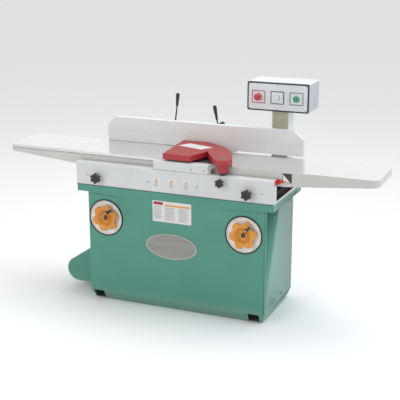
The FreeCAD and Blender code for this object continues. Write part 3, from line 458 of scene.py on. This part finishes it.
def along(name, start, stop, rows, count=40):
    """Rings about the line from start to stop; rows are (share of the way, radius)."""
    a, b = Vector(start), Vector(stop)
    u = (b - a).normalized()
    side = u.cross(Vector((0, 1, 0))).normalized()
    other = u.cross(side)
    rings = []
    for share, r in rows:
        centre = a + (b - a) * share
        turns = (2 * math.pi * i / count for i in range(count))
        rings.append([tuple(centre + (side * math.cos(t) + other * math.sin(t)) * r) for t in turns])
    return rings_mesh(name, rings)


def two_tone(name, second, chosen):
    """Gives the faces picked by chosen(centre, normal) a second material; the mesh stays as it is."""
    mesh = NODES[name].data
    mesh.materials.append(MATERIALS[second])
    for face in mesh.polygons:
        if chosen(face.center, face.normal):
            face.material_index = 1


# ------------------------------------------------------------------ places, in millimetres

CAB_FRONT = BED_FACE = -230.0
TABLE_FRONT = -185.0
GUARD_TOP = 850.0
PRINT_THICK = 0.12
LABEL_THICK, BADGE_THICK, SMALL_THICK = 0.9, 2.4, 0.6
STICKER_THICK = 0.15
WHEELS = {"left": (-410.0, 472.0, 18.0), "right": (367.0, 472.0, 10.0)}
GRIP_RADIUS, GRIP_ANGLE = 59.0, math.radians(52.0)
KNOBS = {"knob_left": (-452.0, 689.0, 27.0), "knob_right": (388.0, 689.0, 27.0),
         "knob_guard": (246.0, 733.0, 22.0)}
BADGE, BADGE_HALF = (-31, 357), (145.0, 69)
SMALL_PLATES = (-112, -27, 55)
GUARD_HUB = (248, -214)
BUTTONS = {"stop_button": 290.0, "power_lamp": 393.0, "start_button": 497.0}
BUTTON_TINTS = {"stop_button": "frame_red", "power_lamp": "frame_dark", "start_button": "frame_green"}
BUTTON_Z, BEZEL_W, BEZEL_H = 1101.0, 36, 33
LEVER_Y = 250.0
LEVERS = {"tilt_lever": ((-228, 852), (-209, 1003), (-203, 1078)),
          "slide_lever": ((49, 852), (29, 945), (14, 1024))}


# ------------------------------------------------------------------ handwheels, grips and knobs

for side, (wx, wz, turn) in WHEELS.items():
    wheel, grip = "wheel_" + side, "grip_" + side
    piece("handwheel_" + side + "_dish", handwheel_mesh("handwheel_" + side, wx, wz, turn), "orange_plastic",
          wheel, ["handwheel_" + side])
    # the nut is real; its dark finish also stands for the dark hub hole: partly painted shade
    piece("wheel_nut_" + side, lathe_y("wheel_nut_" + side, wx, wz, [
        (AXIS_RADIUS, -213.5), (9.6, -213.5), (9.6, -216.5), (6.5, -217.0), (6.2, -220.6), (5.4, -221.4),
        (3.0, -221.6), (2.8, -219.0), (AXIS_RADIUS, -219.0)], 48), "dark_steel", wheel)
    gx = wx + GRIP_RADIUS * math.cos(GRIP_ANGLE)
    gz = wz + GRIP_RADIUS * math.sin(GRIP_ANGLE)
    piece("grip_stud_" + side, lathe_y("grip_stud_" + side, gx, gz, [
        (AXIS_RADIUS, -240), (7.6, -240), (8.4, -246), (8.2, -249.6), (7.4, -250.4), (4.0, -250.5),
        (3.9, -300.5),
        (3.2, -301.5), (AXIS_RADIUS, -301.6)]), "zinc_screws", wheel)
    piece(grip + "_sleeve", lathe_y(grip, gx, gz, [
        (4.1, -252.0), (5.8, -251.4), (6.6, -252.4), (7.0, -258), (7.6, -270), (8.4, -283), (9.3, -294),
        (9.6, -299), (9.3, -302.5), (8.0, -305.0), (6.0, -305.9), (5.0, -305.6), (4.6, -304.2),
        (4.1, -303.6)]), "black_plastic", grip, [grip])
    # a white cap on the grip's near end: painted highlight
    piece("grip_tip_highlight_" + side, lathe_y("grip_tip_highlight_" + side, gx, gz, [
        (AXIS_RADIUS, -303.0), (4.4, -303.0), (4.5, -304.6), (3.8, -305.8), (1.6, -306.0),
        (AXIS_RADIUS, -306.0)]),
        "label", grip)

for name, (x, z, radius) in KNOBS.items():
    piece(name + "_star", knob_mesh(name, x, z, radius), "black_plastic", name, [name])


# ------------------------------------------------------------------ second colours on the CAD nodes

for name in ("infeed_table", "outfeed_table"):
    two_tone(name, "apron_paint", lambda c, n: c.z < 0.7975)
two_tone("bed_casting", "casting_shadow",
         lambda c, n: -0.189 < c.y < 0.13 and c.z < 0.765 and abs(c.x) < 0.519)
two_tone("cutter_guard", "guard_top", lambda c, n: n.z > 0.95 and c.z > 0.845)
# the post's +X faces take the lighter copy: painted light on that side
two_tone("pedestal_post", "post_side_painted_light", lambda c, n: n.x > 0.9)
# black below 790 mm: a black collar, with the post in the gap under the boss as painted shade
two_tone("guard_post", "black_plastic", lambda c, n: c.z < 0.79)
# the switch box's +X faces take the darker copy: painted shade on that side
two_tone("switch_box", "box_side_painted_shade", lambda c, n: n.x > 0.9)
for name in ("wheel_shaft_left", "wheel_shaft_right"):
    two_tone(name, "dark_steel", lambda c, n: c.y < -0.2)
# the guard's bevel faces take the pale red: painted highlight on its edges
NODES["cutter_guard"].data.materials.append(MATERIALS["guard_edge_painted_highlight"])
NODES["cutter_guard"].modifiers["bevel"].material = 2


# ------------------------------------------------------------------ blank label, badge, small plates

def plate(name, outline, back, thick, slot, material=None, replaces=(), body="frame", dome=0.0):
    """A front plate added as a piece."""
    piece(name, front_plate(name, outline, back, thick, dome), slot, body, replaces,
          material=MATERIALS[material] if material else None)


LABEL_FACE = CAB_FRONT - LABEL_THICK
plate("front_label", rounded_outline(-136, 82, 487, 599, 4), CAB_FRONT, LABEL_THICK, "label",
      replaces=["blank_plates"])
plate("label_band", rounded_outline(-66, 76, 574, 583, 1.5), LABEL_FACE, PRINT_THICK, "label", "label_orange")
plate("label_corner", rounded_outline(-130, -76, 578, 594, 1.5), LABEL_FACE, PRINT_THICK, "label",
      "label_red")
LABEL_COLUMNS = [(-130, -76, 572, 500, 13), (-66, 2, 568, 496, 14), (10, 76, 568, 494, 14)]
piece("label_rules", rules("label_rules", LABEL_COLUMNS, LABEL_FACE), "label", "frame",
      material=MATERIALS["label_grey"])
plate("oval_badge", ellipse(BADGE, *BADGE_HALF, 96), CAB_FRONT, BADGE_THICK, "label", "badge_rim")
plate("oval_badge_face", ellipse(BADGE, 0.94 * BADGE_HALF[0], 0.90 * BADGE_HALF[1], 96),
      CAB_FRONT - BADGE_THICK, 0.8, "label", "badge_face", dome=0.8)
SMALL_FACE = BED_FACE - SMALL_THICK
for k, x in enumerate(SMALL_PLATES):
    plate("small_plate_%d" % k, rounded_outline(x - 20, x + 20, 664, 722, 3), BED_FACE, SMALL_THICK, "label")
    plate("small_band_%d" % k, [(x - 9, 701), (x + 9, 701), (x, 716)], SMALL_FACE, PRINT_THICK, "label",
          "label_orange")
    piece("small_rules_%d" % k, rules("small_rules_%d" % k, [(x - 15, x + 15, 697, 670, 6)], SMALL_FACE),
          "label", "frame", material=MATERIALS["label_grey"])


# ------------------------------------------------------------------ dished pans and their black edge rings, trim and painted shade

PAN_PROFILE = [
    (11, -199.3), (30, -199.3), (33, -200.0), (35, -202.5), (36, -214), (37, -217.4), (39.5, -219.4),
    (44, -220.6), (60, -221.0), (80, -221.8), (86, -223.4), (89, -226), (90.5, -229), (91.6, -230.6),
    (93, -231), (93, -229), (92.8, -217), (40, -216), (37.5, -198), (11, -196.5)]
# the black ring is the rim trim and also the shaded gap between panel and pan: partly painted shade
TRIM_AND_GAP_SHADE_PROFILE = [
    (93.6, -230.0), (93.6, -234.0), (94.4, -235.6), (96, -236.2), (97.8, -235.8), (99.2, -234.2),
    (100, -231.5), (100, -230.0)]
for side, (wx, wz, _) in WHEELS.items():
    pan = "pan_" + side
    piece(pan, hoop_y(pan, wx, wz, PAN_PROFILE), "white_pan", "frame", ["wheel_pans"])
    piece("ring_" + pan, hoop_y("ring_" + pan, wx, wz, TRIM_AND_GAP_SHADE_PROFILE), "black_trim", "frame", ["wheel_trims"])

# blank sticker on the guard
piece("guard_sticker",
      top_plate("guard_sticker", [(-41, 44), (-81, -23), (68, -68), (108, -1)], GUARD_TOP, STICKER_THICK),
      "red_paint", "cutter_guard", material=MATERIALS["label"])


# ------------------------------------------------------------------ switch: caps, gasket, panel, bezels

def button_profile(cap, near, far):
    """A domed cap on a short collar, from the bezel outwards."""
    return [(AXIS_RADIUS, near), (cap * 0.72, near), (cap * 0.72, far + 5.5), (cap * 0.98, far + 5.2),
            (cap, far + 4.2), (cap, far + 2.6), (cap * 0.94, far + 1.1), (cap * 0.75, far + 0.4),
            (cap * 0.4, far + 0.1), (AXIS_RADIUS, far)]


def lamp_profile(cap, near, far):
    """A flat lens with two ring grooves."""
    return [(AXIS_RADIUS, near), (cap, near), (cap, far + 3.0), (cap * 0.92, far + 1.0),
    (cap * 0.7, far + 0.5),
            (cap * 0.66, far + 1.0), (cap * 0.45, far + 0.4), (cap * 0.42, far + 0.9), (cap * 0.2, far + 0.2),
            (AXIS_RADIUS, far)]


def radius_of(name):
    low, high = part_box(name)
    return (high.x - low.x) / 2 / MM


for name, bx in BUTTONS.items():
    is_lamp = name == "power_lamp"
    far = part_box(name)[0].y / MM
    near = far + (14.0 if name == "stop_button" else 9.0)
    rows = (lamp_profile if is_lamp else button_profile)(radius_of(name), near, far)
    piece(name + "_cap", lathe_y(name, bx, BUTTON_Z, rows), SLOTS[name], "frame" if is_lamp else name)

piece("gasket_lip", frame_ring("gasket_lip", 227.4, 562.6, 1028.4, 1178.6, 10, 7.0, 186.9, 4.4),
      "black_trim", "frame", ["switch_gasket"], edge=0.8)
plate("panel_sheet", rounded_outline(235.2, 554.8, 1036.2, 1170.8, 4), 184.0, 0.5, "box_paint", "panel_face")
for name, bx in BUTTONS.items():
    tag = name.split("_")[0]
    plate("bezel_plate_" + tag,
          rounded_outline(bx - BEZEL_W, bx + BEZEL_W, BUTTON_Z - BEZEL_H, BUTTON_Z + BEZEL_H, 4), 183.5, 1.6,
          "bezel_grey", "panel_face", ["button_bezels"] if tag == "stop" else [])
    rim_w, rim_h = BEZEL_W + 0.5, BEZEL_H + 0.5
    piece("bezel_frame_" + tag,
          frame_ring("bezel_frame_" + tag, bx - rim_w, bx + rim_w, BUTTON_Z - rim_h, BUTTON_Z + rim_h,
                     4.5, 4.2, 182.2, 1.1),
          "bezel_grey", "frame", material=MATERIALS[BUTTON_TINTS[name]])
    r = radius_of(name) + 3.0
    piece("bezel_collar_" + tag, lathe_y("bezel_collar_" + tag, bx, BUTTON_Z, [
        (AXIS_RADIUS, 182), (r + 2.5, 182), (r + 2.5, 180), (r + 1.6, 178.6), (r, 178.2), (r - 2, 178.8),
        (r - 2.6, 180.5), (AXIS_RADIUS, 180.6)]), "bezel_grey", "frame")


# ------------------------------------------------------------------ painted shadow lines along the sheet metal's seams and creases

# a thin dark strip under the bed's edge: painted shadow of the overhang
plate("bed_edge_shadow_line", [(-578, 641.4), (521, 641.4), (521, 644.6), (-578, 644.6)], -231.9, 0.35, "green_paint",
      "seam_painted_shadow")
# thin darker strips along the panel's pressed lines and its right corner: painted shadow
PRESS_LINE_SHADOWS = {"left": [(-512, 597.6), (-290, 584), (-290, 588), (-512, 601.5)],
           "right": [(225, 588.5), (478, 596), (478, 600), (225, 590.5)],
           "corner": [(476, 60), (479.5, 60), (479.5, 596), (476, 596)]}
for tag, outline in PRESS_LINE_SHADOWS.items():
    plate("press_line_shadow_" + tag, outline, CAB_FRONT, 0.5, "green_paint", "press_line_painted_shadow")


# ------------------------------------------------------------------ clamp levers and the lever stop

GRIP_ROWS = [(0, 4.6), (0.02, 6.0), (0.06, 6.4), (0.3, 7.6), (0.6, 9.4), (0.8, 10.4), (0.9, 10.4),
             (0.95, 9.4), (0.985, 6.5), (1.0, 0.6)]
ROD_ROWS, ROD_INTO_GRIP = [(0, 4.4), (1, 3.8)], 0.05
HUB_PROFILE = [(AXIS_RADIUS, 239.2), (8, 239.2), (10.2, 240.2), (11, 242), (11, 256), (10, 257.6), (6, 258),
               (6, 284), (AXIS_RADIUS, 284)]
for name, places in LEVERS.items():
    foot, knee, tip = (Vector((x, LEVER_Y, z)) for x, z in places)
    piece(name + "_grip", along(name + "_grip", knee, tip, GRIP_ROWS), "black_plastic", name, [name])
    piece(name + "_rod", along(name + "_rod", foot, knee + (tip - knee) * ROD_INTO_GRIP, ROD_ROWS, 24),
          "black_plastic", name)
    piece(name + "_hub", lathe_y(name + "_hub", foot.x, foot.z, HUB_PROFILE), "black_plastic", name)
STOP_OUTLINE = [(31, 905), (72, 905), (72, 926), (62, 938), (50, 932), (31, 921)]
piece("lever_stop", front_plate("lever_stop", STOP_OUTLINE, 262.0, 22.0), "black_plastic", "slide_lever",
      edge=2.0)


# ------------------------------------------------------------------ depth plate, guard hub cap and screw

plate("depth_plate_face", rounded_outline(548, 596, 752, 798, 2), TABLE_FRONT, 1.4, "scale_plate",
      replaces=["depth_plate"], body="infeed_table")
plate("depth_plate_corner", [(551, 755), (589, 755), (551, 794)], TABLE_FRONT - 1.4, STICKER_THICK,
      "scale_plate", "label", body="infeed_table")
CAP_THICK = 1.6
piece("guard_hub_cap", top_plate("guard_hub_cap", ellipse(GUARD_HUB, 15, 11, 40), GUARD_TOP, CAP_THICK),
      "red_paint", "cutter_guard", edge=0.6, material=MATERIALS["bearing_iron"])
piece("guard_hub_screw",
      top_plate("guard_hub_screw", ellipse(GUARD_HUB, 5, 5, 24), GUARD_TOP + CAP_THICK, 1.2),
      "zinc_screws", "cutter_guard", edge=0.4)


# ------------------------------------------------------------------ floor, light and camera

def flat_material(name, color, rough):
    """One plain colour, for the floor."""
    mat = bpy.data.materials.new(name)
    mat.use_nodes = True
    shader = mat.node_tree.nodes["Principled BSDF"]
    shader.inputs["Base Color"].default_value = (*color, 1)
    shader.inputs["Roughness"].default_value = rough
    return mat


FLOOR_HALF = 30
floor_mesh = bpy.data.meshes.new("floor")
floor_mesh.from_pydata([(-FLOOR_HALF, -FLOOR_HALF, 0), (FLOOR_HALF, -FLOOR_HALF, 0),
                        (FLOOR_HALF, FLOOR_HALF, 0), (-FLOOR_HALF, FLOOR_HALF, 0)], [], [(0, 1, 2, 3)])
floor = bpy.data.objects.new("floor", floor_mesh)
bpy.context.scene.collection.objects.link(floor)
floor_mesh.materials.append(flat_material("floor", (0.95, 0.95, 0.95), 0.8))

# a white surround, brighter from behind the object than from in front of it
world = bpy.data.worlds.new("studio")
bpy.context.scene.world = world
world.use_nodes = True
sky = world.node_tree
way = sky.nodes.new("ShaderNodeTexCoord")
parts = sky.nodes.new("ShaderNodeSeparateXYZ")
glow = sky.nodes.new("ShaderNodeMapRange")
for socket, value in (("From Min", -0.3), ("From Max", 0.6), ("To Min", 0.5), ("To Max", 1.15)):
    glow.inputs[socket].default_value = value
sky.links.new(way.outputs["Generated"], parts.inputs[0])
sky.links.new(parts.outputs["Y"], glow.inputs["Value"])
sky.links.new(glow.outputs[0], sky.nodes["Background"].inputs["Strength"])
sky.nodes["Background"].inputs["Color"].default_value = (1.0, 1.0, 1.0, 1)


def area_light(name, place, target, size, power, color=(1, 1, 1)):
    """A rectangular lamp aimed at a point."""
    lamp = bpy.data.lights.new(name, "AREA")
    lamp.shape = "RECTANGLE"
    lamp.size, lamp.size_y = size
    lamp.energy = power
    lamp.color = color
    obj = bpy.data.objects.new(name, lamp)
    bpy.context.scene.collection.objects.link(obj)
    obj.location = place
    obj.rotation_euler = (Vector(target) - Vector(place)).to_track_quat("-Z", "Y").to_euler()


area_light("key", (-1.6, -4.2, 2.6), (0, 0, 0.5), (2.4, 2.0), 62)
area_light("side", (3.6, -0.1, 2.3), (0.45, 0, 0.7), (2.6, 2.4), 46, (0.70, 0.86, 1.0))
area_light("top", (0.2, 0.6, 3.6), (0, 0, 0.8), (3.4, 2.2), 40)

AZIMUTH, ELEVATION = math.radians(22.8021), math.radians(15.9681)
camera_data = bpy.data.cameras.new("camera")
camera_data.lens = 84.28
camera_data.sensor_width = 36.0
camera_data.clip_end = 100
camera = bpy.data.objects.new("camera", camera_data)
bpy.context.scene.collection.objects.link(camera)
camera.location = (1.893, -4.4225, 1.9297)
look = Vector((-math.sin(AZIMUTH) * math.cos(ELEVATION), math.cos(AZIMUTH) * math.cos(ELEVATION),
               -math.sin(ELEVATION)))
camera.rotation_euler = look.to_track_quat("-Z", "Y").to_euler()
bpy.context.scene.camera = camera
bpy.context.scene.view_settings.view_transform = "Standard"
